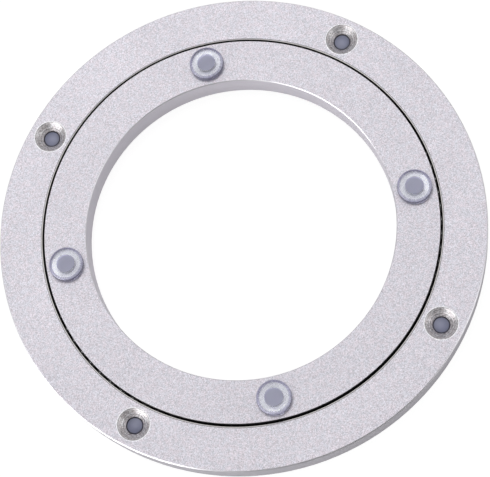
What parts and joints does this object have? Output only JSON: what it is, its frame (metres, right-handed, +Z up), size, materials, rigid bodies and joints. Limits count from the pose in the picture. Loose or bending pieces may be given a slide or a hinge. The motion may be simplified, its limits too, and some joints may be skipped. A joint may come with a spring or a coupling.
{
  "type": "lazy susan turntable",
  "caption": "Round aluminium ring bearing: an inner ring turns on a row of steel balls inside a fixed outer ring, with clear push-in pads on both faces.",
  "frame": {"origin": "on the turning axis, in the plane that the bottom pads stand on", "axes": "+Z up along the turning axis, out of the face that carries the top pads. The outer ring's holes lie at 45 degrees between +X and +Y and every quarter turn from it, and the filler plug faces +Y"},
  "size_m": [0.14, 0.14, 0.0125],
  "materials": {
    "outer_aluminium": "fine bead-blasted faces, turned chamfers and countersinks",
    "inner_aluminium": "fine bead-blasted faces, turned bore and chamfers",
    "plug_steel": "dark oxide",
    "clear_pad": "clear, smooth",
    "ball_steel": "polished"
  },
  "bodies": {
    "base": {"outer_ring": "outer_aluminium", "filler_plug": "plug_steel", "bottom_pad_1": "clear_pad", "bottom_pad_2": "clear_pad", "bottom_pad_3": "clear_pad", "bottom_pad_4": "clear_pad"},
    "turntable": {"inner_ring": "inner_aluminium", "top_pad_1": "clear_pad", "top_pad_2": "clear_pad", "top_pad_3": "clear_pad", "top_pad_4": "clear_pad"},
    "ball_train": {"balls_01": "ball_steel", "balls_02": "ball_steel", "balls_03": "ball_steel", "balls_04": "ball_steel", "balls_05": "ball_steel", "balls_06": "ball_steel", "balls_07": "ball_steel", "balls_08": "ball_steel", "balls_09": "ball_steel", "balls_10": "ball_steel", "balls_11": "ball_steel", "balls_12": "ball_steel", "balls_13": "ball_steel", "balls_14": "ball_steel", "balls_15": "ball_steel", "balls_16": "ball_steel", "balls_17": "ball_steel", "balls_18": "ball_steel", "balls_19": "ball_steel", "balls_20": "ball_steel", "balls_21": "ball_steel", "balls_22": "ball_steel"}
  },
  "joints": [
    {"name": "ring_spin", "type": "hinge", "parent": "base", "child": "turntable", "pos_m": [0, 0, 0.00625], "axis": [0, 0, 1], "continuous": true},
    {"name": "ball_orbit", "type": "hinge", "parent": "base", "child": "ball_train", "pos_m": [0, 0, 0.00625], "axis": [0, 0, 1], "continuous": true}
  ],
  "couplings": [
    {"joint": "ball_orbit", "follows": "ring_spin", "ratio": 0.48249}
  ]
}
